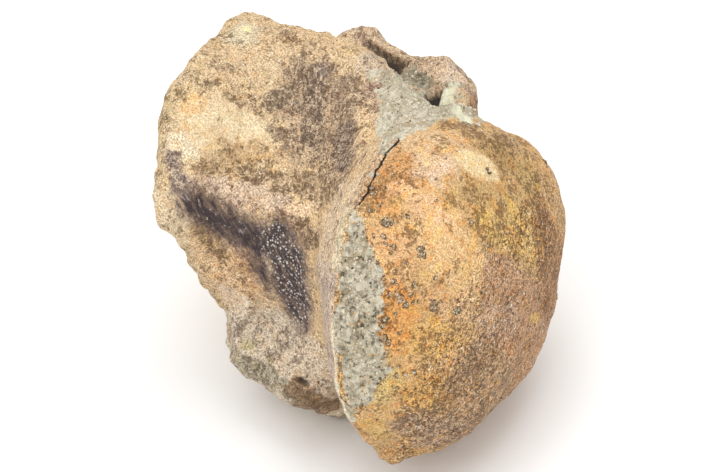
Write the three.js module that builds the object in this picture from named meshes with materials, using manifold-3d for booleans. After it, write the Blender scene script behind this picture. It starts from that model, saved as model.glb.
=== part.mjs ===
// A fossil mosasaur neck vertebra, one solid, lying on its right side as it rests on a shelf.
//
// Anatomical frame, in millimetres, with its origin in the middle of the centrum:
//   +X  towards the tail, where the condyle (the ball) is
//   +Y  the animal's right side, which the fossil lies on
//   +Z  towards the back, where the neural arch has broken off
// The shape is sculpted in that frame as a field that is negative inside the bone. A net of faces is drawn
// over its surface, and the solid is turned into its resting pose and cut level where it touches the shelf.

import * as THREE from "three";
import { ImprovedNoise } from "three/addons/math/ImprovedNoise.js";
import { mergeVertices } from "three/addons/utils/BufferGeometryUtils.js";
import Module from "manifold-3d";

const rad = THREE.MathUtils.degToRad;
const clamp = THREE.MathUtils.clamp;
const lerp = THREE.MathUtils.lerp;

// ---- driving dimensions -------------------------------------------------------------------------------

const AXIS_HEIGHT = 2; // of the centrum's long axis above the origin
const CENTRUM_LENGTH = 51; // from the cotyle's rim plane to the condyle's, along the axis
const CONDYLE_RADIUS = 37;
const CONDYLE_BULGE = 21.5; // how far the ball stands out of its rim plane
const CONDYLE_TILT = rad(13); // both faces lean forwards at the top
const LIP_SWEEP = 5; // how much further forwards the lip round the ball lies at the sides
const COTYLE_TILT = rad(25);
const COTYLE_DEPTH = 13;
const COTYLE_MOUTH = 27; // radius of the dish at the rim plane

const ROLL = rad(-47); // how far the fossil has rolled onto its right side
const REST_DEPTH = 31.8; // of the shelf below the origin

// Radii of the cotyle's rim, of the waist and of the condyle's rim, at every 30 degrees, going round from
// the left side (0) over the back (90) and the right side (180) to the belly (270).
const COTYLE_RIM = [40, 37, 34.5, 31, 34, 36, 37, 34, 31, 30.5, 30.5, 37];
const WAIST = [25, 28, 30.5, 30, 29, 27, 25, 25, 24, 24, 24, 24];
const CONDYLE_RIM = [38, 38.5, 35.5, 36.6, 36.8, 35.8, 35.9, 35.5, 35.4, 37.5, 38.4, 37.5];

// ---- field tools --------------------------------------------------------------------------------------

const noise = new ImprovedNoise();

// The lower of two fields, with the crease between them rounded over the blend width.
function join(a, b, blend) {
  const near = Math.max(blend - Math.abs(a - b), 0) / blend;
  return Math.min(a, b) - (near * near * blend) / 4;
}

// What is inside a but outside b, with the crease rounded over the blend width.
function carve(a, b, blend) {
  return -join(-a, b, blend);
}

// What is inside both fields.
function keepWithin(a, b, blend) {
  return -join(-a, -b, blend);
}

// A ring of radii at even angles, read at any angle by a smooth closed curve.
function ringRadius(radii, angle) {
  const n = radii.length;
  const t = ((((angle / (2 * Math.PI)) % 1) + 1) % 1) * n;
  const i = Math.floor(t);
  const f = t - i;
  const [a, b, c, d] = [i - 1, i, i + 1, i + 2].map((k) => radii[(k + n) % n]);
  return b + 0.5 * f * (c - a + f * (2 * a - 5 * b + 4 * c - d + f * (3 * (b - c) + d - a)));
}

// An ellipsoid's field: close to a distance near its surface.
function ellipsoid(p, centre, radii) {
  const x = (p.x - centre[0]) / radii[0];
  const y = (p.y - centre[1]) / radii[1];
  const z = (p.z - centre[2]) / radii[2];
  const k = Math.hypot(x, y, z);
  const g = Math.hypot(x / radii[0], y / radii[1], z / radii[2]);
  return g === 0 ? -Math.min(...radii) : (k * (k - 1)) / g;
}

// A block with rounded edges.
function block(p, centre, half, round) {
  const x = Math.abs(p.x - centre[0]) - half[0] + round;
  const y = Math.abs(p.y - centre[1]) - half[1] + round;
  const z = Math.abs(p.z - centre[2]) - half[2] + round;
  const out = Math.hypot(Math.max(x, 0), Math.max(y, 0), Math.max(z, 0));
  return out + Math.min(Math.max(x, y, z), 0) - round;
}

// A rod with round ends between two points, whose radius changes evenly from one to the other.
function rod(p, a, b, radiusA, radiusB) {
  const ab = [b[0] - a[0], b[1] - a[1], b[2] - a[2]];
  const ap = [p.x - a[0], p.y - a[1], p.z - a[2]];
  const length2 = ab[0] ** 2 + ab[1] ** 2 + ab[2] ** 2;
  const t = clamp((ap[0] * ab[0] + ap[1] * ab[1] + ap[2] * ab[2]) / length2, 0, 1);
  const away = Math.hypot(ap[0] - t * ab[0], ap[1] - t * ab[1], ap[2] - t * ab[2]);
  return away - lerp(radiusA, radiusB, t);
}

// Rods end to end along a path of points.
function path(p, points, radii) {
  let nearest = Infinity;
  for (let i = 0; i + 1 < points.length; i++) {
    nearest = Math.min(nearest, rod(p, points[i], points[i + 1], radii[i], radii[i + 1]));
  }
  return nearest;
}

// ---- the bone -----------------------------------------------------------------------------------------

// The centrum's spool: flared rims, a narrow waist, and the condyle's ball on its rear face.
function centrum(p) {
  const up = p.z - AXIS_HEIGHT;
  const away = Math.hypot(p.y, up);
  const angle = Math.atan2(up, -p.y);
  const front = -CENTRUM_LENGTH / 2 - up * Math.tan(COTYLE_TILT);
  const rear = CENTRUM_LENGTH / 2 - up * Math.tan(CONDYLE_TILT) - lipSweep(angle);
  const along = clamp((p.x - front) / (rear - front), 0, 1);

  const flareFront = clamp(1 - along / 0.72, 0, 1) ** 1.3;
  const flareRear = clamp((along - 0.52) / 0.48, 0, 1) ** 2.2;
  const waist = ringRadius(WAIST, angle);
  const radius =
    waist +
    (ringRadius(COTYLE_RIM, angle) - waist) * flareFront +
    (ringRadius(CONDYLE_RIM, angle) - waist) * flareRear;

  const side = (away - radius) * 0.85;
  const frontFace = (front - p.x) * Math.cos(COTYLE_TILT);
  const rearFace = (p.x - rear) * Math.cos(CONDYLE_TILT);
  const spool = keepWithin(keepWithin(side, frontFace, 5), rearFace, 2.5);
  return join(spool, condyle(p), 1.2);
}

// The lip round the ball reaches further forwards at the sides than over the back and the belly.
function lipSweep(angle) {
  return LIP_SWEEP * Math.cos(angle) ** 2;
}

// The ball: half an ellipsoid on the tilted rear plane, a little narrower than the lip. In front of the lip
// it narrows to a cone that stays inside the spool.
function condyle(p) {
  const dx = p.x - CENTRUM_LENGTH / 2;
  const up = p.z - AXIS_HEIGHT;
  const out = dx * Math.cos(CONDYLE_TILT) + up * Math.sin(CONDYLE_TILT);
  const rise = up * Math.cos(CONDYLE_TILT) - dx * Math.sin(CONDYLE_TILT);
  const angle = Math.atan2(rise, -p.y);
  const radius = ringRadius(CONDYLE_RIM, angle) - 0.8;
  const size = radius / CONDYLE_RADIUS;
  const local = { x: out / size, y: p.y / size, z: rise / size };
  const ball = ellipsoid(local, [0, 0, 0], [CONDYLE_BULGE, CONDYLE_RADIUS, CONDYLE_RADIUS]) * size;
  const cone = (Math.hypot(p.y, rise) - radius - lipSweep(angle) - out) * Math.SQRT1_2;
  return keepWithin(ball, cone, 1);
}

// The cotyle's dish, sunk into the tilted front face.
function cotyleDish(p) {
  const curve = (COTYLE_MOUTH ** 2 + COTYLE_DEPTH ** 2) / (2 * COTYLE_DEPTH);
  const out = curve - COTYLE_DEPTH;
  const x = -CENTRUM_LENGTH / 2 - out * Math.cos(COTYLE_TILT);
  const z = AXIS_HEIGHT - out * Math.sin(COTYLE_TILT);
  return Math.hypot(p.x - x, p.y, p.z - z) - curve;
}

// The joint for the rib on each side: a thick worn edge along the cotyle's flank, from high to low. The
// right one is the more worn.
function leftRibJoint(p) {
  return path(p, [[-28, -28, 14], [-25, -32.5, 7], [-21, -34.5, 0], [-17, -34, -8]], [5, 6, 6, 6]);
}

function rightRibJoint(p) {
  return path(p, [[-28, 28, 14], [-25, 32, 7], [-21, 32.5, 0], [-18, 30.5, -5]], [5, 6, 5.5, 5]);
}

// The hollow under each rib joint, running back along the flank and down behind the belly's stump.
function flankGroove(p, side) {
  const y = side * p.y;
  return path(
    { x: p.x, y, z: p.z },
    [[-12, 37, -5], [-4, 33, -7], [4, 30, -10], [9, 27, -15], [12, 23, -20]],
    [1.5, 3.5, 5.5, 6, 4],
  );
}

// The root of the broken forward joint, a knob at the top of the cotyle's rim on the left.
function forwardKnob(p) {
  return ellipsoid(p, [-34.5, -15.5, 25], [5.5, 6, 5.5]);
}

// The broken stumps of the neural arch: two ridges along the back, the right one left standing higher.
function leftPedicle(p) {
  return path(
    p,
    [[-24, -13, 24.8], [-13, -13, 31], [-8, -13, 31], [-3.5, -12.5, 29.4], [5, -12, 28], [11, -11.5, 26.6]],
    [5, 5, 4.8, 4.6, 4.4, 4.4],
  );
}

function rightPedicle(p) {
  return path(
    p,
    [[-31, 13, 31], [-26, 14, 36.2], [-21, 14, 33.8], [-11, 14, 34], [-5, 14, 38.2], [-1.5, 14, 37.4], [4, 13, 31.5]],
    [5.5, 5.8, 6, 6, 6, 5.6, 5.2],
  );
}

function neuralCanal(p) {
  const tunnel = path(p, [[-60, 0, 42], [-24, 0.5, 40], [10, 0, 39], [45, 0, 44]], [9, 8.5, 8, 8]);
  const undercut = path(p, [[-24, 6, 37], [-12, 6.5, 36.5], [-6, 6, 37]], [3.5, 4, 3.5]);
  return join(tunnel, undercut, 2);
}

// Hardened sand still plugging the rear half of the canal.
function canalPlug(p) {
  const bed = path(p, [[-7, 5, 30.5], [1, 5, 31.5], [9, 2, 30.5], [16, 0, 29.5]], [4, 4.5, 4.5, 4.5]);
  return join(bed, path(p, [[7, 4, 31], [4.5, 5.5, 37.5]], [3.6, 2.8]), 2);
}

// The stump under the neck that carried a separate spur: a square-cut block on the belly.
function bellyStump(p) {
  return block(p, [4.4, 1, -26.5], [13, 13.5, 8.5], 6);
}

function bone(p) {
  let f = centrum(p);
  f = join(f, leftRibJoint(p), 8);
  f = join(f, rightRibJoint(p), 8);
  f = join(f, forwardKnob(p), 6);
  f = join(f, leftPedicle(p), 12);
  f = join(f, rightPedicle(p), 4);
  f = join(f, bellyStump(p), 6);
  f = carve(f, flankGroove(p, -1), 5);
  f = carve(f, flankGroove(p, 1), 5);
  f = carve(f, neuralCanal(p), 1.5);
  f = join(f, canalPlug(p), 3);
  f = carve(f, cotyleDish(p), 2);
  return f + weathering(p);
}

// Uneven surface, from gentle swells to small knobs.
function weathering(p) {
  let sum = 0;
  for (const [size, depth] of [[24, 1.3], [11, 0.8], [5.5, 0.45]]) {
    sum += depth * noise.noise(p.x / size + 3.1, p.y / size + 7.7, p.z / size + 1.9);
  }
  return sum;
}

// ---- the solid ----------------------------------------------------------------------------------------

const CELL = 2.75; // edge of the cubes that the net is drawn through
const MARGIN = 0.1; // how near a point may come to the faces of its cube, in cubes
const LOW = [-48, -49, -42]; // corners of the space that holds the bone
const HIGH = [52, 49, 50];

// The field's value at each grid point, and how many points there are each way.
function sample(field) {
  const count = LOW.map((low, axis) => Math.ceil((HIGH[axis] - low) / CELL) + 1);
  const values = new Float64Array(count[0] * count[1] * count[2]);
  let at = 0;
  for (let k = 0; k < count[2]; k++) {
    for (let j = 0; j < count[1]; j++) {
      for (let i = 0; i < count[0]; i++) {
        values[at] = field({ x: LOW[0] + i * CELL, y: LOW[1] + j * CELL, z: LOW[2] + k * CELL });
        at += 1;
      }
    }
  }
  return { count, values };
}

// Where the four corners of a grid square lie in and out by turns, the net would cross itself: there the
// outer corner nearest the surface is filled in.
function fillSaddles(values, step) {
  let filled = true;
  while (filled) {
    filled = false;
    for (let base = 0; base + step[0] + step[1] + step[2] < values.length; base++) {
      for (const [s, t] of [[step[0], step[1]], [step[1], step[2]], [step[2], step[0]]]) {
        const square = [base, base + s, base + s + t, base + t];
        const [a, b, c, d] = square.map((corner) => values[corner] < 0);
        if (a !== c || b !== d || a === b) continue;
        const [one, other] = a ? [square[1], square[3]] : [square[0], square[2]];
        values[values[one] < values[other] ? one : other] = -0.1;
        filled = true;
      }
    }
  }
}

// A point moved along the field's slope until it lies on the surface, or nearly so where that would take
// it out of its own cube.
function settle(field, point, cube) {
  const h = 0.05;
  for (let step = 0; step < 3; step++) {
    const value = field(point);
    const slope = ["x", "y", "z"].map((axis) => {
      const beside = { ...point };
      beside[axis] += h;
      return (field(beside) - value) / h;
    });
    const steepness = slope[0] ** 2 + slope[1] ** 2 + slope[2] ** 2;
    const move = clamp(value / Math.max(steepness, 0.05), -CELL / 3, CELL / 3);
    point.x -= move * slope[0];
    point.y -= move * slope[1];
    point.z -= move * slope[2];
  }
  const nearCorner = new THREE.Vector3(...cube).addScalar(MARGIN).multiplyScalar(CELL);
  nearCorner.add(new THREE.Vector3(...LOW));
  const farCorner = nearCorner.clone().addScalar(CELL * (1 - 2 * MARGIN));
  point.clamp(nearCorner, farCorner);
}

// A net over the surface: one point in each cube that it passes through, one pair of triangles for each
// grid edge that it cuts.
function netOver(field) {
  const { count, values } = sample(field);
  const step = [1, count[0], count[0] * count[1]];
  fillSaddles(values, step);
  const points = [];
  const pointOf = new Map();

  for (let k = 0; k + 1 < count[2]; k++) {
    for (let j = 0; j + 1 < count[1]; j++) {
      for (let i = 0; i + 1 < count[0]; i++) {
        const base = i + j * step[1] + k * step[2];
        const sum = new THREE.Vector3();
        let crossings = 0;
        for (let axis = 0; axis < 3; axis++) {
          const [side, top] = [(axis + 1) % 3, (axis + 2) % 3];
          for (const [s, t] of [[0, 0], [1, 0], [0, 1], [1, 1]]) {
            const a = values[base + s * step[side] + t * step[top]];
            const b = values[base + s * step[side] + t * step[top] + step[axis]];
            if (a < 0 === b < 0) continue;
            const corner = [i, j, k];
            corner[side] += s;
            corner[top] += t;
            corner[axis] += a / (a - b);
            sum.add(new THREE.Vector3(...corner));
            crossings += 1;
          }
        }
        if (crossings === 0) continue;
        sum.multiplyScalar(CELL / crossings).add(new THREE.Vector3(...LOW));
        settle(field, sum, [i, j, k]);
        pointOf.set(base, points.length);
        points.push(sum);
      }
    }
  }

  const triangles = [];
  for (const base of pointOf.keys()) {
    for (let axis = 0; axis < 3; axis++) {
      const [side, top] = [(axis + 1) % 3, (axis + 2) % 3];
      if (values[base] < 0 === values[base + step[axis]] < 0) continue;
      const ring = [base, base - step[side], base - step[side] - step[top], base - step[top]];
      const [a, b, c, d] = ring.map((cube) => pointOf.get(cube));
      const quad = values[base] < 0 ? [a, b, c, d] : [a, d, c, b];
      const p = quad.map((q) => points[q]);
      if (p[0].distanceTo(p[2]) < p[1].distanceTo(p[3])) {
        triangles.push(quad[0], quad[1], quad[2], quad[0], quad[2], quad[3]);
      } else {
        triangles.push(quad[1], quad[2], quad[3], quad[1], quad[3], quad[0]);
      }
    }
  }

  const geometry = new THREE.BufferGeometry().setFromPoints(points);
  geometry.setIndex(triangles);
  return geometry;
}

const wasm = await Module();
wasm.setup();

function toSolid(geometry) {
  return new wasm.Manifold(
    new wasm.Mesh({
      numProp: 3,
      vertProperties: geometry.getAttribute("position").array,
      triVerts: new Uint32Array(geometry.index.array),
    }),
  );
}

function toGeometry(solid) {
  const mesh = solid.getMesh();
  const geometry = new THREE.BufferGeometry();
  geometry.setAttribute("position", new THREE.BufferAttribute(mesh.vertProperties, 3));
  geometry.setIndex(new THREE.BufferAttribute(mesh.triVerts, 1));
  return geometry;
}

// Turned into the resting pose, cut level at the shelf, and centred over the origin.
function restOnShelf(geometry) {
  geometry.rotateX(ROLL).translate(0, 0, REST_DEPTH);
  const size = 4 * CENTRUM_LENGTH;
  const below = new THREE.BoxGeometry(size, size, size).translate(0, 0, -size / 2);
  below.deleteAttribute("normal");
  below.deleteAttribute("uv");
  const rested = toGeometry(toSolid(geometry).subtract(toSolid(mergeVertices(below))));
  rested.computeBoundingBox();
  const centre = rested.boundingBox.getCenter(new THREE.Vector3());
  rested.translate(-centre.x, -centre.y, 0);
  rested.computeVertexNormals();
  return rested;
}

const fossilBone = new THREE.MeshStandardMaterial({ color: 0xb98a5a, roughness: 0.85, metalness: 0 });

const vertebra = new THREE.Mesh(restOnShelf(netOver(bone)), fossilBone);
vertebra.name = "vertebra";

const part = new THREE.Group();
part.add(vertebra);

export default part;
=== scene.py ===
# A fossil mosasaur neck vertebra, lying on its right side. It is one bone, mineralised to tan, ochre and
# purple-brown, with hardened grey-green sand still stuck round the rim of its ball and in its broken arch.

import itertools
import math

import bpy
import numpy as np
from mathutils import Euler, Matrix, Vector, noise


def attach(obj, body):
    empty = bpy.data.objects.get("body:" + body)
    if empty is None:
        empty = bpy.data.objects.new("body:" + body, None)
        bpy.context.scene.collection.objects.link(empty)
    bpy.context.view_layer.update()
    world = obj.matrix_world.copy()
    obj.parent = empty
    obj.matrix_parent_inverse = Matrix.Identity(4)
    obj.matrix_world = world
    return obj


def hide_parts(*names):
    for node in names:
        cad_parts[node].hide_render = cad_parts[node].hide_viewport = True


MM = 0.001

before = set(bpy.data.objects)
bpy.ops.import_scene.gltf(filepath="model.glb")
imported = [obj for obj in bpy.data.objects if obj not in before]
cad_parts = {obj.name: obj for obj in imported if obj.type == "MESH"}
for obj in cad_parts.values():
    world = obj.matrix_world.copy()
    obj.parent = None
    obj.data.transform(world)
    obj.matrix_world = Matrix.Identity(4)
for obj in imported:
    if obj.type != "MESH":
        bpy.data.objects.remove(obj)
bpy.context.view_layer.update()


# ---- the view -------------------------------------------------------------------------------------------
# The bone is looked at from above its left side, from between its back and its tail, so that the big hollow
# of its flank is on the left and the ball on the right.

VIEW_AZIMUTH = math.radians(40.74)
VIEW_ELEVATION = math.radians(42.6)
VIEW_DISTANCE = 600 * MM
VIEW_WIDTH = 148.7 * MM  # what the frame takes in at that distance
AIM_HEIGHT = 33 * MM
AIM_LEFT = 3.57 * MM  # the bone lies a little right of the frame's middle, and a little above it
AIM_DOWN = 0.63 * MM

back = Vector(
    (
        math.sin(VIEW_AZIMUTH) * math.cos(VIEW_ELEVATION),
        -math.cos(VIEW_AZIMUTH) * math.cos(VIEW_ELEVATION),
        math.sin(VIEW_ELEVATION),
    )
)
right = Vector((math.cos(VIEW_AZIMUTH), math.sin(VIEW_AZIMUTH), 0))
up = back.cross(right)
aim = Vector((0, 0, AIM_HEIGHT)) - AIM_LEFT * right - AIM_DOWN * up

camera_data = bpy.data.cameras.new("view")
camera_data.sensor_width = 36
camera_data.lens = camera_data.sensor_width * VIEW_DISTANCE / VIEW_WIDTH
camera_data.clip_start = 10 * MM
camera = bpy.data.objects.new("view", camera_data)
camera_axes = Matrix((right, up, back)).transposed().to_4x4()
camera.matrix_world = Matrix.Translation(aim + VIEW_DISTANCE * back) @ camera_axes
bpy.context.scene.collection.objects.link(camera)
bpy.context.scene.camera = camera


# ---- the bone's shape -----------------------------------------------------------------------------------
# A fine skin over the frame's solid: its facets are rounded away and its weathered surface is worked up.
# Places are given in the animal's own directions, in millimetres from the middle of the centrum: x towards
# the tail, y towards its right side, which is underneath, and z towards its back.

ROLL = math.radians(-47)  # from the animal's own directions into the resting pose
MIDDLE = np.array([-4.23, -3.54, 31.8])  # where the middle of the centrum lies at rest
VOXEL = 0.6 * MM
SMOOTHING_STEPS = 14

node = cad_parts["vertebra"]
bone = bpy.data.objects.new("vertebra_bone", node.data.copy())
bpy.context.scene.collection.objects.link(bone)
weld = bone.modifiers.new("weld", "WELD")
weld.merge_threshold = 0.01 * MM
remesh = bone.modifiers.new("remesh", "REMESH")
remesh.mode = "VOXEL"
remesh.voxel_size = VOXEL
smooth = bone.modifiers.new("smooth", "SMOOTH")
smooth.iterations = SMOOTHING_STEPS
smooth.factor = 0.6


def settle(thing):
    """The object's mesh with its modifiers worked into it."""
    graph = bpy.context.evaluated_depsgraph_get()
    mesh = bpy.data.meshes.new_from_object(thing.evaluated_get(graph), depsgraph=graph)
    thing.modifiers.clear()
    thing.data = mesh


settle(bone)
bone.data.materials.clear()


def positions(mesh):
    flat = np.empty(len(mesh.vertices) * 3, np.float32)
    mesh.vertices.foreach_get("co", flat)
    return flat.reshape(-1, 3).astype(float)


def normals(mesh):
    flat = np.empty(len(mesh.vertices) * 3, np.float32)
    mesh.vertex_normals.foreach_get("vector", flat)
    return flat.reshape(-1, 3).astype(float)


def ease(low, high, value):
    """0 below low and 1 above high, with a smooth rise between."""
    t = np.clip((value - low) / (high - low), 0, 1)
    return t * t * (3 - 2 * t)


def lumps(size, seed=0.0, where=slice(None)):
    """Smooth noise of about -1 to 1 over the bone, its lumps about size mm across."""
    return np.array([noise.noise(p) for p in (places[where] / size + seed).tolist()])


def within(spots, centre, radii):
    """How deep each spot lies in an ellipse or ellipsoid, in mm, positive inside."""
    radii = np.broadcast_to(radii, len(centre))
    return (1 - np.linalg.norm((spots - centre) / radii, axis=1)) * radii.min()


def near(spots, route, widths):
    """How deep each spot lies in a band that follows a route of points, in mm, positive inside."""
    best = np.full(len(spots), -1e3)
    for (a, b), (wide_a, wide_b) in zip(zip(route, route[1:]), zip(widths, widths[1:])):
        a, b = np.array(a, float), np.array(b, float)
        t = np.clip((spots - a) @ (b - a) / ((b - a) @ (b - a)), 0, 1)
        away = np.linalg.norm(spots - a - t[:, None] * (b - a), axis=1)
        best = np.maximum(best, wide_a + (wide_b - wide_a) * t - away)
    return best


turn = np.array(Euler((ROLL, 0, 0)).to_matrix())
surface = positions(bone.data) / MM
outward = normals(bone.data) @ turn
places = (surface - MIDDLE) @ turn
side, height = places[:, 1], places[:, 2]

# Where each place lies round the ball: how far out of the ball's rim plane, how far behind the lip, and at
# what angle, from the left side (0) over the back (90) and round to the belly (-90).
BALL_MIDDLE = np.array([25.5, 0, 2])
BALL_TILT = math.radians(13)
LIP_SWEEP = 5

from_ball = places - BALL_MIDDLE
out = from_ball[:, 0] * math.cos(BALL_TILT) + from_ball[:, 2] * math.sin(BALL_TILT)
rise = from_ball[:, 2] * math.cos(BALL_TILT) - from_ball[:, 0] * math.sin(BALL_TILT)
angle = np.degrees(np.arctan2(rise, -side))
behind = out + LIP_SWEEP * np.cos(np.radians(angle)) ** 2
on_ball = ease(-0.6, 0.6, behind)
flank = 1 - on_ball

# Two flat charts for markings, in mm: the left flank as it is seen square on, towards the tail and the back,
# and the ball unrolled round its middle, towards the right side and the back.
BALL_RADIUS = 24
ELSEWHERE = 200  # puts the right side and most of the dish far off the left chart's own heights
beside = np.hypot(side, rise)
unrolled = BALL_RADIUS * (math.pi / 2 - np.arctan2(out, beside))
dished = (outward[:, 0] < -0.3) & (within(places, [-30, 0, 2], [24, 16, 17]) > 0)
left = np.column_stack([places[:, 0], height + np.where((side > 4) | dished, ELSEWHERE, 0)])
ball = np.column_stack([side, rise]) * (unrolled / beside)[:, None]

# Hardened sand: a strip behind the lip, a broken wedge on the left stump of the arch, what is left in the
# canal with a pale plate standing in it, a lump under the right flank, and one in the dish of the front face
# that ends short of the dish's floor.
strip_reach = np.interp(angle, [-66, -50, -38, -21, -6, 6, 16], [-4, 3.6, 8, 6.2, 5.5, -0.6, -5])
strip = np.minimum(behind - 0.3, strip_reach - out)
wedge_front = np.interp(height, [20, 24, 29, 32], [15, 8, 3, -2])
wedge_back = np.interp(angle, [30, 45, 59, 65, 90], [-5, -2.7, -1.2, 2, 3])
wedge = np.minimum.reduce([0.7 * (places[:, 0] - wedge_front), wedge_back - out, height - 19, -8 - side])
far_wall = within(places, [-8, 8, 36.3], [5.5, 6, 2.8])
canal = np.minimum.reduce([
    within(places, [10, 0, 33], [14, 12, 6]), 1 - out, 0.8 * (9.5 - 0.66 * side - places[:, 0]),
])
plate = near(places, [[6.5, -2, 36.3], [1.5, 8, 36.8], [0.5, 9.5, 38.8]], [2.0, 2.4, 1.8])
shelf = near(places, [[10.5, -14, 33], [19, -14, 33]], [1.8, 2.3])
dish_sand = within(places, [-27, 3, -3], [9, 13, 14])
right_sand = within(places, [8, 24, -12], [9, 8, 6])
sand = np.maximum.reduce([strip, wedge, far_wall, canal, plate, shelf, dish_sand, right_sand])
sand += 0.9 * lumps(2.8, 5.1) + 0.5 * lumps(1.2, 5.7)
sand = np.maximum(sand, np.maximum(plate, shelf))

# Where the lip is worn low the sand has come away, and a rusty streak shows behind the lip's pale edge. A
# rusty spot bites into the wedge's front edge.
streak = np.minimum(np.minimum(behind - 0.2, 1.9 - behind), 0.4 * np.minimum(-34 - angle, angle + 54))
rusty = within(left, [0.3, 31], [1.7, 1.0])
sand = np.minimum(sand, 0.4 - 1.5 * np.maximum(streak, rusty))
sandy = ease(-0.4, 0.5, sand)

# The broken block under the neck, the worn knobbly rims, the crest of the arch's stumps, the slot between
# them and the hole behind it; the slot and the hole are also painted dark further on, as painted shade.
block = np.minimum(
    within(places, [5, 0, -29], [19, 19, 13]), -19.5 - height - 0.25 * abs(places[:, 0] - 5) + 4,
)
blocky = ease(-1.5, 1.5, block)
front_rim = ease(7, 2, places[:, 0] + 25.5 + (height - 2) * math.tan(math.radians(25)))
crest = ease(29, 33, height) * flank
slot = np.minimum.reduce([
    38.8 - height, side + 9, 9 + 0.5 * places[:, 0] + height - 35, -12 - places[:, 0], height - 31,
    12 - side,
])
hole_and_painted_shade = near(places, [[5.5, -5, 35], [-1.5, 8, 34.5]], [2.0, 2.4])

# Weathering, from broad swells to fine grain, rougher where the bone is broken or sandy.
depth = 0.34 * lumps(5.0, 1.0) + 0.17 * lumps(2.1, 2.0) + 0.075 * lumps(0.95, 3.0)
depth += front_rim * (0.75 * lumps(3.4, 4.0) + 0.3 * lumps(1.6, 6.0))
depth += crest * (0.6 * lumps(2.6, 7.0) + 0.35 * lumps(1.3, 8.0))
depth += blocky * (0.55 * lumps(2.6, 9.0) + 0.3 * lumps(1.3, 10.0))
stony = sandy * (1 + 0.5 * ease(-1, 0, strip))
depth += stony * (0.10 + 0.38 * lumps(2.2, 11.0) + 0.30 * lumps(1.0, 12.0))
depth -= stony * 0.6 * ease(0.2, 0.55, lumps(1.3, 13.0))

# Named features: the dark groove under the rib joint, the ridge below it, the block's ledge and cavity, the
# hole in the canal's sand, and the jagged tip and notch under the ball.
groove = near(left, [[-5, -8], [-3, -10], [1, -14.5]], [0.8, 1.5, 1.0])
depth -= 0.9 * ease(-0.6, 1.2, groove)
ridge = near(left, [[-3, -20], [-5.5, -26.5]], [0.6, 0.8])
depth += 0.9 * ease(-0.8, 0.6, ridge)
ledge = blocky * ease(0.8, -0.8, height + 30.5 + 0.9 * lumps(3.2, 14.0)) * ease(4, -4, side + 8)
depth -= 0.9 * ledge
cavity = within(left, [13.7, -29.4], [1.5, 0.6])
depth -= 1.6 * ease(-0.4, 0.5, cavity + 0.4 * lumps(1.2, 15.0))
depth -= 3.0 * ease(-0.5, 1.2, hole_and_painted_shade)
depth -= 1.2 * ease(-0.5, 1.0, slot)
tip = within(places, [36, -4, -34], 3.6 * np.ones(3))
depth += 1.6 * ease(-1, 2, tip) + 0.9 * ease(-3, 0, tip) * lumps(1.8, 19.0)
depth -= 2.0 * ease(-0.4, 0.6, within(places, [40, -6, -32], [1.5, 2.2, 2.6]))

# The lip's crack runs along the top of the ball's rim, with a thin flake standing proud of it.
crack_line = -0.2 + 0.06 * (30 - angle) + 0.6 * lumps(3.0, 16.0) + 0.4 * lumps(1.2, 16.5)
crack = behind - crack_line
crack_ends = np.minimum(angle - 12, 39 - angle)
depth -= 0.45 * ease(0.75, 0.1, abs(crack)) * ease(0, 4, crack_ends)
flake = np.minimum(np.minimum(-crack, crack + 2.6), crack_ends * 0.3)
depth += 0.3 * ease(-0.2, 0.5, flake)

# Pits over the ball.
PIT_SPACING, PIT_RADIUS, PIT_DEPTH = 3.1, 0.75, 0.4
for index in np.flatnonzero(on_ball > 0.5):
    away, points = noise.voronoi(places[index] / PIT_SPACING)
    if noise.cell(points[0] * 7.3) > 0.35:
        depth[index] -= PIT_DEPTH * max(0.0, 1 - away[0] * PIT_SPACING / PIT_RADIUS)

surface += (depth[:, None] * outward) @ turn.T

# The left stump is broken lower behind, where one looks down into the canal.
broken = ease(16, 13, places[:, 0]) * ease(4, 1, side)
brink = np.interp(places[:, 0], [-10, -5, 0, 5, 9], [40, 36.2, 34.4, 33.3, 32.3]) + 0.4 * lumps(2.4, 21.0)
brink -= 2.6 * ease(-11, -8, side) * ease(12, 9, places[:, 0])
surface -= (broken * np.maximum(0, height - brink) * 0.9)[:, None] * turn[:, 2]
surface[:, 2] = np.maximum(surface[:, 2], 0.0)
bone.data.vertices.foreach_set("co", (surface * MM).astype(np.float32).ravel())
bone.data.update()
bone.data.shade_smooth()


# ---- the bone's colours ---------------------------------------------------------------------------------
# Two colours at every place: the pale bone itself, and the darker mineral that fills it between its fibres. A
# third value says how much of the mineral there is, from about -1 for none to 1 for all of it.

bone_tone = np.tile([0.73, 0.53, 0.32], (len(places), 1))
mineral_tone = np.tile([0.31, 0.20, 0.11], (len(places), 1))
mineral = np.full((len(places), 1), -0.2)
seeds = itertools.count(20, 3.7)


def lay(depth_in, pale=None, dark=None, amount=None, edge=0.5, torn=1.5, size=3.0, share=0.9):
    """Works colours and an amount of mineral in where depth_in (mm) is positive, its edge torn by torn mm."""
    close = np.flatnonzero(depth_in > -torn - edge)
    seed = next(seeds)
    reach = depth_in[close] + torn * (
        0.7 * lumps(size, seed, close) + 0.6 * lumps(0.4 * size, seed + 0.5, close)
    )
    part = share * ease(-edge, edge, reach)[:, None]
    for layer, value in ((bone_tone, pale), (mineral_tone, dark), (mineral, amount)):
        if value is not None:
            layer[close] += (np.array(value) - layer[close]) * part


broad = lumps(9.0, 20.0)[:, None]
medium = lumps(4.0, 21.0)[:, None]
mineral += 0.22 * broad + 0.22 * medium
bone_tone *= 1 + 0.12 * broad + 0.10 * medium

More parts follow.
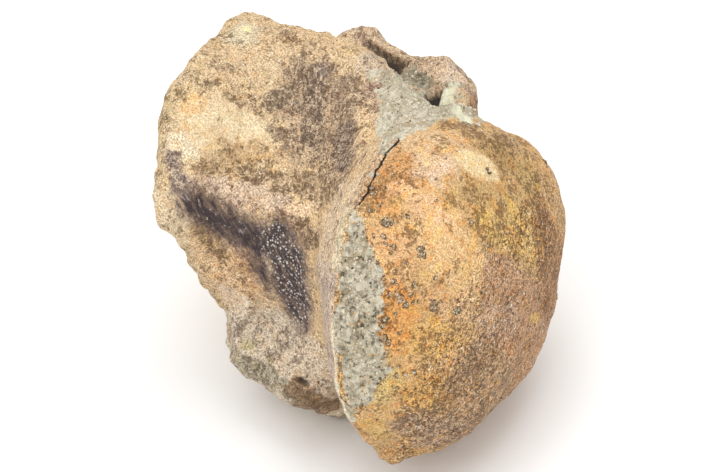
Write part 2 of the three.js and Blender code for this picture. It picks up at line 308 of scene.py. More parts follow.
# The upper flank: cream in the middle of the hollow, golden below it, mottled olive along the front rim.
rim = np.where(front_rim > 0.3, 2.0, -3.0)
lay(rim, (0.68, 0.51, 0.31), (0.29, 0.20, 0.115), -0.15, torn=2)
hollow = within(left, [-17, 9], [9, 7])
lay(hollow, (0.80, 0.61, 0.37), (0.42, 0.28, 0.16), -0.6, edge=2.5, torn=3, size=5)
lay(within(left, [-16.5, 10.5], [5.5, 3.5]), (0.90, 0.76, 0.53), None, -0.6, edge=2.5, torn=3)
lay(within(left, [-24, 10.5], [2.2, 2.5]), (0.84, 0.54, 0.26), edge=1, torn=1.2)
lay(within(left, [-14, 23], [10, 5]), (0.74, 0.57, 0.37), (0.30, 0.20, 0.13), -0.2, edge=2, torn=3)
lay(
    near(left, [[-28, 19.5], [-25, 20.5]], [0.8, 1.0]), None, (0.22, 0.15, 0.09), 0.35, edge=1,
    torn=1.5, size=2,
)
lay(
    near(left, [[-25, 16], [-24, 13]], [1.0, 0.6]), None, (0.22, 0.15, 0.09), 0.35, edge=1, torn=1.5,
    size=2,
)
lay(within(left, [-28.5, 7], [3, 5]), (0.64, 0.48, 0.27), (0.28, 0.19, 0.10), 0.05, torn=2, size=2.2)
lay(within(left, [-30.5, 27.5], [3.5, 3]), (0.68, 0.60, 0.43), None, -0.2, torn=1.2)
lay(
    within(left, [-31.2, 28.6], [0.9, 0.8]), (1.0, 0.90, 0.50), None, -1, edge=0.2, torn=0.2, size=1,
    share=1.0,
)
lay(near(left, [[-24, 31], [-20.5, 31]], [1.2, 1.2]), (0.50, 0.30, 0.15), (0.20, 0.12, 0.07), 0.4, torn=0.8)
lay(
    near(left, [[-20, 16], [-15, 16]], [2, 2]), (0.66, 0.48, 0.29), (0.27, 0.18, 0.10), 0.15, edge=1,
    torn=2,
)
lay(within(left, [-10, 6], [5, 4]), (0.64, 0.43, 0.22), (0.27, 0.175, 0.09), 0.1, edge=1, torn=2)
lay(within(left, [-14.5, 0], [2.5, 2.5]), (0.66, 0.47, 0.26), (0.27, 0.175, 0.09), 0.15, torn=1.5)
lay(within(left, [-20, 1.5], [3.5, 3]), (0.88, 0.75, 0.55), None, -0.6, edge=1, torn=1.5)

# Purple-brown mineral fills the bone towards the arch, in smoky drifts.
purple = near(left, [[-15, 27], [-9, 22], [-3, 17], [4, 13], [9, 10]], [4, 6.5, 6.5, 6, 4])
lay(purple, (0.56, 0.40, 0.265), (0.195, 0.125, 0.085), 0.42, edge=2, torn=3.5, size=5)
lay(
    near(left, [[-12, 26.5], [-8.5, 21.5]], [2.2, 2.8]), (0.43, 0.31, 0.22), (0.12, 0.075, 0.055), 1.05,
    torn=1.8,
)
lay(within(left, [-11, 29], [2, 1.6]), (0.50, 0.39, 0.34), (0.15, 0.105, 0.10), 0.8, torn=1.2)
lay(
    near(left, [[1.5, 21], [6.5, 15]], [2.0, 2.6]), (0.42, 0.30, 0.24), (0.105, 0.066, 0.056), 1.1,
    torn=1.5,
)
lay(within(left, [-14.5, 19.5], [2, 3]), (0.44, 0.33, 0.22), (0.15, 0.10, 0.065), 0.9, torn=1.5)
lay(near(left, [[-5.5, 19.5], [-3, 15.5]], [2, 2]), (0.44, 0.32, 0.23), (0.12, 0.078, 0.058), 0.9, torn=1.8)
lay(within(left, [-9.5, 13], [2.2, 1.6]), (0.46, 0.34, 0.22), (0.14, 0.09, 0.055), 0.9, torn=1.2)
lay(
    near(left, [[-5, 34], [0, 33], [4, 30]], [2.6, 2, 1]), (0.60, 0.51, 0.43), (0.28, 0.21, 0.18), 0.0,
    edge=2, torn=2, share=0.75,
)
lay(within(left, [-3, 26.5], [5, 4]), (0.52, 0.37, 0.25), (0.18, 0.115, 0.08), 0.6, edge=1.5, torn=2)
lay(near(left, [[0, 31.5], [4.5, 26.5]], [1.1, 1.3]), (0.54, 0.35, 0.24), (0.22, 0.12, 0.09), 0.5, torn=1)

# Between hollow and fork: a rosy speckled zone with a peach spot, dark olive above it and dark brown behind.
lay(
    near(left, [[-14, -3], [-8, -1.5], [-2, 1.5]], [2.2, 3.2, 2.6]), (0.74, 0.57, 0.44),
    (0.34, 0.20, 0.15), -0.05, torn=2,
)
lay(
    near(left, [[-9, 3], [-3, 5], [4, 7.5], [9, 7]], [1.6, 2.4, 3.2, 2]), (0.53, 0.37, 0.22),
    (0.20, 0.13, 0.07), 0.55, torn=1.8,
)
lay(near(left, [[2, -1], [8, -2.5]], [2.6, 2.4]), (0.42, 0.27, 0.155), (0.155, 0.09, 0.05), 0.75, torn=1.4)
lay(
    near(left, [[1, 1.2], [4, 2.5]], [1.4, 1.3]), (0.92, 0.66, 0.44), None, -0.9, edge=0.5, torn=0.6,
    size=1.5,
)

# Below the fork: the brown lobe and the tan fall to the block.
lobe = within(left, [-6, -15.5], [6.5, 7])
lay(within(left, [-17.5, -12], [5, 5]), (0.80, 0.65, 0.45), (0.36, 0.25, 0.14), -0.3, edge=1, torn=2)
lay(lobe, (0.74, 0.50, 0.29), (0.34, 0.20, 0.11), 0.0, edge=1, torn=2)
lay(near(left, [[-11, -12], [-8, -14]], [1.6, 1.8]), (0.56, 0.37, 0.19), (0.24, 0.145, 0.07), 0.3, torn=1.2)
lay(
    near(left, [[-4.5, -12.5], [-2, -16.5]], [1.6, 1.6]), (0.60, 0.34, 0.16), (0.26, 0.14, 0.07), 0.2,
    torn=1,
)
lay(within(left, [-6, -22], [3, 3]), (0.74, 0.58, 0.44), None, -0.3, edge=1, torn=1.5)
lay(within(left, [3, -23], [7, 4.5]), (0.62, 0.51, 0.38), (0.28, 0.20, 0.14), 0.0, edge=1, torn=2)
lay(
    near(left, [[-21, -1], [-16.5, -5]], [1.4, 2.2]), (0.46, 0.36, 0.31), (0.19, 0.135, 0.13), 0.6,
    torn=1, size=2,
)
lay(ridge, (0.92, 0.84, 0.74), None, -1, edge=0.3, torn=0.2, size=1)
# Painted shade: a brown band along the ridge's side.
lay(near(left, [[-1.8, -21.5], [-2.5, -25]], [1, 1.1]), (0.44, 0.31, 0.21), None, 0.4, torn=0.6)

# The band in front of the lip, tan above and lilac below, and a pale seam along the lip itself.
band = np.minimum(behind + 9, -behind)
lay(
    np.minimum(band, 0.3 * np.minimum(22 - angle, angle + 14)), (0.78, 0.62, 0.46), None, -0.35, edge=1,
    torn=1,
)
lay(
    np.minimum(band, 0.3 * np.minimum(-6 - angle, angle + 75)), (0.60, 0.49, 0.44), (0.30, 0.215, 0.19),
    -0.15, edge=1, torn=1,
)
lay(
    np.minimum(0.9 - abs(behind + 1.2), 0.2 * np.minimum(16 - angle, angle + 8)), (0.74, 0.68, 0.52),
    None, -0.6, torn=0.7,
)
low_lip = np.minimum(np.minimum(behind + 1.3, 0.5 - behind), 0.4 * np.minimum(-26 - angle, angle + 60))
lay(low_lip, (0.92, 0.83, 0.62), None, -0.9, edge=0.4, torn=0.4, size=1.5)

# The broken block is grey-beige, olive and darker below its ledge, and rusty towards its rear corner.
lay(block + 1, (0.70, 0.60, 0.49), (0.30, 0.23, 0.18), -0.1, edge=1, torn=1.5)
# Below the ledge the olive is the block's own, and its extra darkness is painted shade under the ledge.
lay(np.minimum(block, 2 * ledge - 1), (0.46, 0.41, 0.31), (0.20, 0.165, 0.11), 0.1, edge=0.6, torn=0.6)
lay(near(left, [[-2, -29], [0, -28.5]], [1.2, 1]), (0.56, 0.53, 0.36), None, -0.2, torn=0.8)
lay(within(left, [5, -29], [1.4, 1]), (0.52, 0.47, 0.30), None, 0.1, torn=0.6)
lay(within(left, [14.5, -32.5], [4.5, 3]), (0.42, 0.27, 0.15), (0.19, 0.115, 0.06), 0.4, torn=1.2)
lay(within(left, [22, -34], [3.5, 2.5]), (0.52, 0.29, 0.13), (0.22, 0.12, 0.06), 0.3, torn=1)
# Painted shade: the cavity is coloured near black inside.
lay(cavity, (0.11, 0.07, 0.04), (0.05, 0.03, 0.02), 0.5, edge=0.35, torn=0.3, size=1.2)

# The arch's far stump with its pale top, the right flank, that stump's red-brown rear end, the rusty spot at
# the wedge's edge, and the slot between the stumps, whose dark brown is painted shade.
lay(within(places, [-8, 14, 40], [28, 9, 8]), (0.66, 0.50, 0.37), (0.28, 0.18, 0.12), 0.0, edge=1, torn=1.5)
lay(within(places, [-1, 10, 41], [3, 4, 3]), (0.76, 0.62, 0.50), (0.26, 0.17, 0.14), 0.0, torn=1.2)
lay(
    within(places, [4, 20, 28], [20, 11, 11]), (0.56, 0.37, 0.24), (0.24, 0.14, 0.09), 0.3, edge=2,
    torn=3, size=4,
)
lay(within(places, [5, 12, 34.5], [5.5, 8, 4.8]), (0.52, 0.27, 0.15), (0.22, 0.11, 0.06), 0.3, torn=1)
lay(rusty, (0.46, 0.25, 0.16), (0.17, 0.10, 0.11), 0.4, edge=0.4, torn=0.6, size=1.5)
# Painted shade: the slot is coloured dark brown where shade falls between the stumps.
lay(slot, (0.17, 0.11, 0.07), (0.08, 0.05, 0.03), 0.3, edge=0.7, torn=0.8)

# The ball, over an ochre ground.
ochre = np.array([0.72, 0.46, 0.22]) * (1 + 0.15 * broad + 0.12 * medium)
bone_tone += (ochre - bone_tone) * on_ball[:, None]
mineral_tone += (np.array([0.40, 0.24, 0.11]) - mineral_tone) * on_ball[:, None]
mineral += (-0.15 + 0.4 * medium - mineral) * on_ball[:, None]


def lay_on_ball(depth_in, *colours, edge=1.2, torn=2.0, share=0.85, **rest):
    lay(np.minimum(depth_in, behind), *colours, edge=edge, torn=torn, share=share, **rest)


# From the crown: tan under the sand, orange-brown at the crack, white-pink and peach beside it, a compact
# cream patch with dark ochre behind it, and a golden field below.
lay_on_ball(within(ball, [-28, 25], [9, 5.5]), (0.76, 0.53, 0.31), (0.38, 0.23, 0.11), -0.3)
lay_on_ball(
    near(ball, [[-20, 31], [-12, 30], [-3, 31]], [2, 3, 3]), (0.62, 0.42, 0.22), (0.30, 0.18, 0.09),
    0.05,
)
lay_on_ball(near(ball, [[-34, 20], [-35, 14]], [3, 4]), (0.62, 0.33, 0.13), (0.33, 0.165, 0.07), 0.0)
lay_on_ball(
    within(ball, [-27.5, 18], [3.6, 3.2]), (0.86, 0.65, 0.48), (0.48, 0.28, 0.17), -0.2, size=1.6,
    share=0.75,
)
lay_on_ball(near(ball, [[-33, 13], [-28.5, 9.5]], [2, 2.6]), (0.93, 0.61, 0.36), None, -0.4, size=2)
lay_on_ball(
    near(ball, [[-24, 16], [-15, 18], [-7, 20]], [3, 3.6, 3.6]), (0.66, 0.44, 0.20), (0.37, 0.22, 0.09),
    0.0,
)
lay_on_ball(within(ball, [-13, 27], [5, 3]), (0.52, 0.34, 0.145), (0.27, 0.165, 0.065), 0.1)
lay_on_ball(within(ball, [-5, 24], [3.5, 4]), (0.64, 0.44, 0.19), (0.30, 0.185, 0.08), 0.1)
lay_on_ball(
    near(ball, [[-21.5, 22], [-17, 23.4]], [2.7, 2.0]), (0.92, 0.74, 0.45), None, -1, edge=0.5,
    torn=0.6, size=1.5, share=0.95,
)
lay_on_ball(near(ball, [[-27, 4], [-22, 2]], [5, 5]), (0.90, 0.61, 0.32), None, -0.45)
golden = near(ball, [[-20, 11.5], [-12, 14.5], [-2, 14]], [3.5, 5, 4])
lay_on_ball(golden, (0.84, 0.56, 0.21), (0.31, 0.175, 0.06), 0.05, size=2)

# The left of the ball, downwards behind the sand: orange, yellow-ochre, orange-ochre and yellow patches.
lay_on_ball(near(ball, [[-34, 3], [-34, -4]], [3, 3]), (0.86, 0.53, 0.27), (0.42, 0.23, 0.11), -0.3)
lay_on_ball(near(ball, [[-32, -8], [-29, -13]], [3.4, 3.2]), (0.84, 0.41, 0.13), (0.38, 0.175, 0.06), -0.2)
lay_on_ball(within(ball, [-24, -5], [4.5, 3]), (0.80, 0.52, 0.29), (0.38, 0.22, 0.12), -0.2)
lay_on_ball(within(ball, [-23.5, -12], [5, 3.6]), (0.80, 0.49, 0.175), (0.36, 0.20, 0.08), -0.2)
lay_on_ball(within(ball, [-17, -20.5], [5, 4]), (0.74, 0.43, 0.145), (0.34, 0.185, 0.065), -0.1)
lay_on_ball(
    near(ball, [[-24.5, -20], [-23, -25]], [1.4, 1.6]), (0.78, 0.59, 0.26), None, -0.4, torn=1,
    size=1.5,
)
lay_on_ball(near(ball, [[-18, -30], [-14, -32]], [1.6, 1.6]), (0.70, 0.47, 0.17), None, -0.2, torn=1)
lay_on_ball(
    near(ball, [[-14, -27], [-6, -27], [4, -24]], [3, 3.6, 4]), (0.56, 0.38, 0.25), (0.27, 0.17, 0.11),
    0.1,
)

# The rose-brown right half, with a crisp edge, and the reddish-brown edge above it.
mauve = near(ball, [[-15, 2], [-8, -2], [4, -4], [18, -6]], [6, 8, 10, 13])
lay_on_ball(
    near(ball, [[-12, -15], [-2, -17], [10, -18]], [6, 7, 9]), (0.60, 0.40, 0.235), (0.31, 0.19, 0.11),
    0.0,
)
lay_on_ball(mauve, (0.585, 0.35, 0.21), (0.36, 0.205, 0.12), -0.3, edge=0.5, torn=1.2)
lay_on_ball(within(ball, [-11, -5], [7, 4]), (0.66, 0.45, 0.31), (0.38, 0.245, 0.17), -0.3, size=2)
lay_on_ball(
    near(ball, [[-3, 19], [3, 12], [12, 8]], [3, 6, 9]), (0.54, 0.29, 0.13), (0.28, 0.145, 0.065), 0.05,
)
lay_on_ball(within(ball, [5, -1.8], [3.4, 1.4]), (0.84, 0.56, 0.18), None, -0.8, edge=0.4, torn=0.6, size=1)
lay(streak, (0.72, 0.44, 0.17), (0.30, 0.17, 0.07), 0.0, edge=0.4, torn=0.5, size=1.5)
lay(flake, (0.64, 0.44, 0.28), (0.34, 0.17, 0.09), 0.2, edge=0.4, torn=0.6, size=1.5)

# The plate and the shelf of pale yellow-green clay that lie on the sand.
clay = np.maximum(plate, shelf) + 0.4 * lumps(1.5, 17.0)
clay = np.maximum(clay, low_lip - 0.3)

# The dark fork: an upper arm along the underside of the rib joint and a broad lower arm down to the block.
fork_upper = near(
    left, [[-15.5, -6.8], [-13, -7.3], [-9, -8], [-4, -8], [0, -7]], [0.6, 2.8, 3.0, 3.2, 3.2],
)
fork_lower = near(
    left, [[0.5, -5], [4, -8], [5.5, -11.5], [7, -15.5], [10, -19.5]], [3.0, 4.0, 3.6, 3.4, 0.8],
)
fork_tongue = near(left, [[-3, -9], [1, -14.5]], [2.0, 1.0])
fork = np.maximum.reduce([fork_upper, fork_lower, fork_tongue])

granular = near(left, [[-1, -5], [3, -7.5], [6, -12], [8, -17]], [2.5, 4, 3.6, 2.6])

# How strongly the pale web of fibres shows, and where its fibres run straight towards the arch.
web = flank * (0.85 + 0.3 * broad[:, 0]) * (1 - 0.6 * blocky)
straight = np.maximum(ease(-3, 3, purple), ease(-1.5, 1.5, band))
straight = np.maximum(straight, ease(27, 31, height) * flank)

# How coarse the speckle is: finest in the hollow and on the ball's crown, coarse where the bone is worn.
worn = ease(36, 43, places[:, 0] + 0.3 * (side + 15)) * on_ball
coarseness = 0.30 + 0.25 * flank - 0.45 * ease(-1, 3, hollow) * flank + 0.75 * worn + 0.2 * medium[:, 0]
coarseness += 0.7 * ease(-1, 0, strip) - 0.4 * ease(-1, 0, wedge)


def keep(mesh, name, values, kind="FLOAT"):
    """Keeps one value per vertex on the mesh, for its material to read."""
    layer = mesh.attributes.new(name, kind, "POINT")
    if kind == "FLOAT_COLOR":
        values = np.hstack([np.clip(values, 0, 1), np.ones((len(values), 1))])
    field = {"FLOAT_COLOR": "color", "FLOAT_VECTOR": "vector", "FLOAT": "value"}[kind]
    layer.data.foreach_set(field, values.astype(np.float32).ravel())


keep(bone.data, "bone_tone", bone_tone, "FLOAT_COLOR")
keep(bone.data, "mineral_tone", mineral_tone, "FLOAT_COLOR")
keep(bone.data, "mineral", mineral)
keep(bone.data, "sand", sand)
keep(bone.data, "clay", clay)

# Painted shade: the slot and the hole are painted nearly black inside, and the canal's far wall dusky.
shade = np.maximum.reduce([1.6 * hole_and_painted_shade, 0.5 * slot - 0.2, np.minimum(0.4 * far_wall - 0.2, 0.2)])
keep(bone.data, "hole_and_painted_shade", shade + 0.3 * lumps(1.2, 18.0))

keep(bone.data, "fork", fork)
keep(bone.data, "granular", granular)
keep(bone.data, "crack", np.where(crack_ends > 0, crack, 9.0))
keep(bone.data, "web", np.clip(web, 0, 1))
keep(bone.data, "straight", np.clip(straight, 0, 1))
keep(bone.data, "ball", on_ball)
keep(bone.data, "coarseness", np.clip(coarseness, 0, 1))


# ---- the bone's finish ----------------------------------------------------------------------------------
# A dull mineral surface. The flank shows a web of pale fibres, the ball a tight speckle with pale flecks, and
# both are crossed by the sand's grains, the dark fork's white granules and the crack.


def put(tree, kind, inputs=(), **settings):
    """Places a node; each of its inputs is given a value or linked to a socket."""
    made = tree.nodes.new(kind)
    for name, value in settings.items():
        setattr(made, name, value)
    for name, value in dict(inputs).items():
        if isinstance(value, bpy.types.NodeSocket):
            tree.links.new(value, made.inputs[name])
        else:
            made.inputs[name].default_value = value
    return made


def calc(tree, operation, *values):
    return put(tree, "ShaderNodeMath", enumerate(values), operation=operation).outputs[0]


def scaled(tree, vector, factors):
    return put(tree, "ShaderNodeVectorMath", {0: vector, 1: factors}, operation="MULTIPLY").outputs[0]


def mixed(tree, share, a, b, blend_type="MIX"):
    made = put(tree, "ShaderNodeMix", {0: share, 6: a, 7: b}, data_type="RGBA", blend_type=blend_type)
    return made.outputs[2]


def tinted(tree, share, colour, factors):
    """The colour, multiplied by the factors where share is 1."""
    return mixed(tree, share, colour, mixed(tree, 1.0, colour, (*factors, 1), "MULTIPLY"))


def drawn(tree, vector, along, share):
    """The vector with its part along a direction shortened, which draws a pattern out that way."""
    along = Vector(along).normalized()
    part = put(tree, "ShaderNodeVectorMath", {0: vector, 1: along}, operation="DOT_PRODUCT").outputs["Value"]
    less = put(tree, "ShaderNodeVectorMath", {0: along}, operation="SCALE")
    tree.links.new(calc(tree, "MULTIPLY", part, -share), less.inputs["Scale"])
    return put(tree, "ShaderNodeVectorMath", {0: vector, 1: less.outputs[0]}, operation="ADD").outputs[0]


def step(tree, value, low, high):
    """0 below low and 1 above high, with a smooth rise between. Low may be above high."""
    flip = low > high
    ends = {"Value": value, "From Min": min(low, high), "From Max": max(low, high)}
    ends.update({"To Min": 1.0 if flip else 0.0, "To Max": 0.0 if flip else 1.0})
    return put(tree, "ShaderNodeMapRange", ends, interpolation_type="SMOOTHSTEP").outputs[0]


def clouds(tree, vector, size, detail=3.0, roughness=0.5):
    """Three noises from about -1 to 1 that know nothing of each other, their patches about size across."""
    look = {"Vector": vector, "Scale": 1 / size, "Detail": detail, "Roughness": roughness}
    noises = put(tree, "ShaderNodeTexNoise", look).outputs["Color"]
    parts = put(tree, "ShaderNodeSeparateColor", {0: noises})
    return [calc(tree, "MULTIPLY_ADD", part, 3.0, -1.5) for part in parts.outputs]


def attribute(tree, name, output="Fac"):
    return put(tree, "ShaderNodeAttribute", attribute_name=name).outputs[output]


def new_group(name, inputs, outputs):
    """A shader node group with named sockets."""
    group = bpy.data.node_groups.new(name, "ShaderNodeTree")
    for socket, kind in inputs:
        group.interface.new_socket(socket, in_out="INPUT", socket_type=kind)
    for socket, kind in outputs:
        group.interface.new_socket(socket, in_out="OUTPUT", socket_type=kind)
    return group, group.nodes.new("NodeGroupInput"), group.nodes.new("NodeGroupOutput")


FLOAT, VECTOR = "NodeSocketFloat", "NodeSocketVector"

# Bone fibres: pale strands in a tangle, thick and thin, round gaps of about the given size. Every gap has
# a tone of its own, from 0 to 1.
fibres, given, result = new_group(
    "Bone fibres", [("Vector", VECTOR), ("Gap", FLOAT)], [("Strands", FLOAT), ("Gaps", FLOAT)]
)
unit = put(fibres, "ShaderNodeVectorMath", {0: given.outputs["Vector"]}, operation="SCALE")
fibres.links.new(calc(fibres, "DIVIDE", 1.0, given.outputs["Gap"]), unit.inputs["Scale"])
warp = put(fibres, "ShaderNodeTexNoise", {"Vector": unit.outputs[0], "Scale": 0.9, "Detail": 3.0})
pushed = put(
    fibres, "ShaderNodeVectorMath", {0: warp.outputs[1], 1: (1.6, 1.6, 1.6), 2: unit.outputs[0]},
    operation="MULTIPLY_ADD",
)
net, gaps = [], []
for scale, reach, weight in ((1.0, 0.12, 1.0), (2.1, 0.17, 0.6)):
    look = {"Vector": pushed.outputs[0], "Scale": scale}
    edges = put(fibres, "ShaderNodeTexVoronoi", look, feature="DISTANCE_TO_EDGE").outputs["Distance"]
    net.append(calc(fibres, "MULTIPLY", step(fibres, edges, reach, reach * 0.3), weight))
    tones = put(fibres, "ShaderNodeTexVoronoi", look).outputs["Color"]
    gaps.append(put(fibres, "ShaderNodeSeparateColor", {0: tones}).outputs[0])
breaks = step(fibres, clouds(fibres, unit.outputs[0], 1.1, 3.0, 0.7)[0], -0.4, 0.15)
strands = calc(fibres, "MULTIPLY", calc(fibres, "MAXIMUM", net[0], net[1]), breaks)
fibres.links.new(strands, result.inputs["Strands"])
gap_tones = calc(fibres, "MULTIPLY_ADD", gaps[1], 0.5, calc(fibres, "MULTIPLY", gaps[0], 0.5))
fibres.links.new(gap_tones, result.inputs["Gaps"])

# Flecks: every grain of the given size takes its own tone, from 0 to 1, and stands up as a small dome.
flecks, given, result = new_group(
    "Flecks", [("Vector", VECTOR), ("Size", FLOAT)],
    [("Tone", FLOAT), ("Other tone", FLOAT), ("Dome", FLOAT)],
)
unit = put(flecks, "ShaderNodeVectorMath", {0: given.outputs["Vector"]}, operation="SCALE")
flecks.links.new(calc(flecks, "DIVIDE", 1.0, given.outputs["Size"]), unit.inputs["Scale"])
cells = put(flecks, "ShaderNodeTexVoronoi", {"Vector": unit.outputs[0], "Scale": 1.0})
tones = put(flecks, "ShaderNodeSeparateColor", {0: cells.outputs["Color"]})
flecks.links.new(tones.outputs[0], result.inputs["Tone"])
flecks.links.new(tones.outputs[1], result.inputs["Other tone"])
flecks.links.new(calc(flecks, "SUBTRACT", 1.0, cells.outputs["Distance"]), result.inputs["Dome"])


def placed(tree, group, **inputs):
    """A node group in a tree, with its inputs given."""
    return put(tree, "ShaderNodeGroup", inputs, node_tree=group)


def new_finish(name):
    """A material whose shader is already placed, and the bone's own directions in millimetres."""
    material = bpy.data.materials.new(name)
    material.use_nodes = True
    tree = material.node_tree
    shader = tree.nodes["Principled BSDF"]
    shader.inputs["Specular IOR Level"].default_value = 0.3
    own = put(tree, "ShaderNodeTexCoord").outputs["Object"]
    look = {"Vector": own, "Scale": (1 / MM, 1 / MM, 1 / MM), "Rotation": (-ROLL, 0, 0)}
    look["Location"] = tuple(-MIDDLE @ turn)
    return material, tree, shader, put(tree, "ShaderNodeMapping", look).outputs[0]


bone_finish, tree, shader, spot = new_finish("fossil_bone")
pale_bone = attribute(tree, "bone_tone", "Color")
dark_mineral = mixed(tree, 1.0, attribute(tree, "mineral_tone", "Color"), (0.82, 0.80, 0.78, 1), "MULTIPLY")
coarse_share = attribute(tree, "coarseness")
ball_share = attribute(tree, "ball")
web_share = attribute(tree, "web")

# Blotches a millimetre or two across over the pale bone, yellow, rusty, pale and brown, stronger on the ball.
rust, pale, brown = clouds(tree, spot, 2.2, 5.0, 0.62)
blotch, drift, sway = clouds(tree, scaled(tree, spot, (1.0, 1.0, 0.8)), 3.8, 6.0, 0.62)
speck, chip, dust = clouds(tree, spot, 0.85, 4.0, 0.72)
blotch_share = calc(tree, "MULTIPLY_ADD", ball_share, 0.35, 0.45)
ground = pale_bone
for noise_value, low, high, factors in (
    (rust, 0.05, 0.35, (1.02, 0.80, 0.56)),
    (sway, 0.10, 0.40, (1.08, 1.06, 0.80)),
    (pale, 0.10, 0.40, (1.12, 1.16, 1.24)),
    (brown, 0.20, 0.50, (0.74, 0.66, 0.58)),
):
    share = calc(tree, "MULTIPLY", step(tree, noise_value, low, high), blotch_share)
    ground = tinted(tree, share, ground, factors)

# The web: a reticulated one over the hollow, a straight one towards the arch and along the lip.
loose = placed(tree, fibres, Vector=spot, Gap=1.7)
combed = placed(tree, fibres, Vector=drawn(tree, spot, (-0.45, -0.20, 0.87), 0.62), Gap=1.1)
straight_share = attribute(tree, "straight")
strands, gap_tone = [
    put(tree, "ShaderNodeMix", {0: straight_share, 2: a, 3: b}, data_type="FLOAT").outputs[0]
    for a, b in zip(loose.outputs, combed.outputs)
]
strands = calc(tree, "MULTIPLY", strands, web_share)

# How much mineral shows: what the place holds, drifting over millimetres. On the flank it changes from gap to
# gap of the web, and on the ball it is a ragged speckle.
gap_swing = calc(tree, "MULTIPLY_ADD", gap_tone, 1.9, -0.95)
speck_swing = calc(tree, "MULTIPLY", speck, calc(tree, "MULTIPLY_ADD", coarse_share, 1.2, 0.8))
swing = put(tree, "ShaderNodeMix", {0: web_share, 2: speck_swing, 3: gap_swing}, data_type="FLOAT").outputs[0]
drift_share = calc(tree, "MULTIPLY_ADD", web_share, -0.45, 0.95)
held = calc(tree, "MULTIPLY_ADD", drift, drift_share, attribute(tree, "mineral"))
held = calc(tree, "ADD", calc(tree, "MULTIPLY_ADD", chip, 0.35, held), swing)
mineral_share = calc(tree, "MULTIPLY", step(tree, held, -0.05, 0.35), 0.92)
colour = mixed(tree, mineral_share, ground, dark_mineral)
strand_colour = mixed(tree, 1.0, ground, (1.15, 1.13, 1.10, 1), "MULTIPLY")
strand_colour = mixed(tree, 0.40, strand_colour, (0.98, 0.82, 0.60, 1))
colour = mixed(tree, strands, colour, strand_colour)

# Pale chips, dark specks and a fine grain, over bone and ball alike, stronger where the surface is worn.
chip_here = calc(tree, "MULTIPLY_ADD", coarse_share, 0.18, chip)
chips_share = calc(tree, "MULTIPLY_ADD", coarse_share, 0.5, 0.25)
chips = calc(tree, "MULTIPLY", step(tree, chip_here, 0.46, 0.60), chips_share)
colour = mixed(tree, chips, colour, (0.95, 0.86, 0.72, 1))
dust_here = calc(tree, "MULTIPLY_ADD", coarse_share, 0.25, dust)
specks_share = calc(tree, "MULTIPLY_ADD", coarse_share, 0.6, 0.3)
specks = calc(tree, "MULTIPLY", step(tree, dust_here, 0.42, 0.55), specks_share)
colour = mixed(tree, specks, colour, mixed(tree, 1.0, dark_mineral, (0.5, 0.45, 0.4, 1), "MULTIPLY"))
grain = step(tree, clouds(tree, spot, 0.34, 2.0, 0.6)[0], -0.45, 0.45)
deep_grain = mixed(tree, grain, (0.46, 0.42, 0.37, 1), (1.44, 1.42, 1.36, 1))
light_grain = mixed(tree, grain, (0.76, 0.72, 0.66, 1), (1.18, 1.16, 1.11, 1))
colour = mixed(tree, 1.0, colour, mixed(tree, coarse_share, light_grain, deep_grain), "MULTIPLY")

# The dark fork, streaked along its arms, with a brown fringe and rows of white granules.
ALONG_FORK = (0.60, 0.62, -0.48)
flow, stroke, glow = clouds(tree, drawn(tree, spot, ALONG_FORK, 0.72), 1.0, 4.0, 0.65)
wander = calc(tree, "MULTIPLY_ADD", flow, 2.0, attribute(tree, "fork"))
wander = calc(tree, "MULTIPLY_ADD", chip, 0.7, wander)
fringe = calc(tree, "MULTIPLY", step(tree, wander, -2.4, 0.6), 0.72)
fringe_tone = mixed(tree, step(tree, stroke, -0.3, 0.4), (0.15, 0.10, 0.09, 1), (0.30, 0.20, 0.15, 1))
colour = mixed(tree, fringe, colour, fringe_tone)
dark = calc(tree, "MULTIPLY", step(tree, wander, -0.6, 1.4), 0.93)
core = mixed(tree, step(tree, stroke, -0.1, 0.6), (0.050, 0.038, 0.044, 1), (0.25, 0.17, 0.13, 1))
core = mixed(tree, step(tree, glow, 0.28, 0.5), core, (0.36, 0.30, 0.28, 1))
core = mixed(tree, step(tree, dust, 0.38, 0.50), core, (0.70, 0.63, 0.57, 1))
colour = mixed(tree, dark, colour, core)
granules = placed(tree, flecks, Vector=drawn(tree, spot, ALONG_FORK, 0.3), Size=0.5)
granule_rise = calc(tree, "MULTIPLY_ADD", speck, 0.22, granules.outputs["Dome"])
white = calc(
    tree, "MULTIPLY", step(tree, granules.outputs["Tone"], 0.15, 0.4),
    step(tree, granule_rise, 0.56, 0.72),
)
granule_room = calc(
    tree, "MULTIPLY", step(tree, attribute(tree, "granular"), -1.5, 1.5), step(tree, wander, -2.5, -0.5),
)
white = calc(tree, "MULTIPLY", white, granule_room)
white_share = calc(tree, "MULTIPLY", white, step(tree, granules.outputs["Other tone"], -0.6, 0.8))
colour = mixed(tree, white_share, colour, (0.84, 0.77, 0.70, 1))

# The sand: a warm grey paste, lumpy and pitted, rusty in places and raggedly edged, with a paler clay on it.
sand_edge = calc(tree, "MULTIPLY_ADD", rust, 1.7, attribute(tree, "sand"))
sand_edge = calc(tree, "MULTIPLY_ADD", blotch, 1.2, sand_edge)
sand_edge = calc(tree, "MULTIPLY_ADD", chip, 0.8, sand_edge)
sand_share = step(tree, sand_edge, -0.2, 0.25)
paste = mixed(tree, step(tree, blotch, -0.4, 0.5), (0.55, 0.48, 0.34, 1), (0.78, 0.715, 0.56, 1))
paste = tinted(tree, calc(tree, "MULTIPLY", step(tree, sway, 0.15, 0.5), 0.6), paste, (0.95, 0.74, 0.50))
paste = mixed(tree, calc(tree, "MULTIPLY", step(tree, pale, 0.2, 0.5), 0.5), paste, (0.60, 0.57, 0.37, 1))
crevice = clouds(tree, spot, 1.5, 5.0, 0.7)[0]
pits = step(tree, calc(tree, "MULTIPLY_ADD", speck, 0.5, crevice), 0.25, 0.50)
pits = calc(tree, "MULTIPLY", pits, coarse_share)
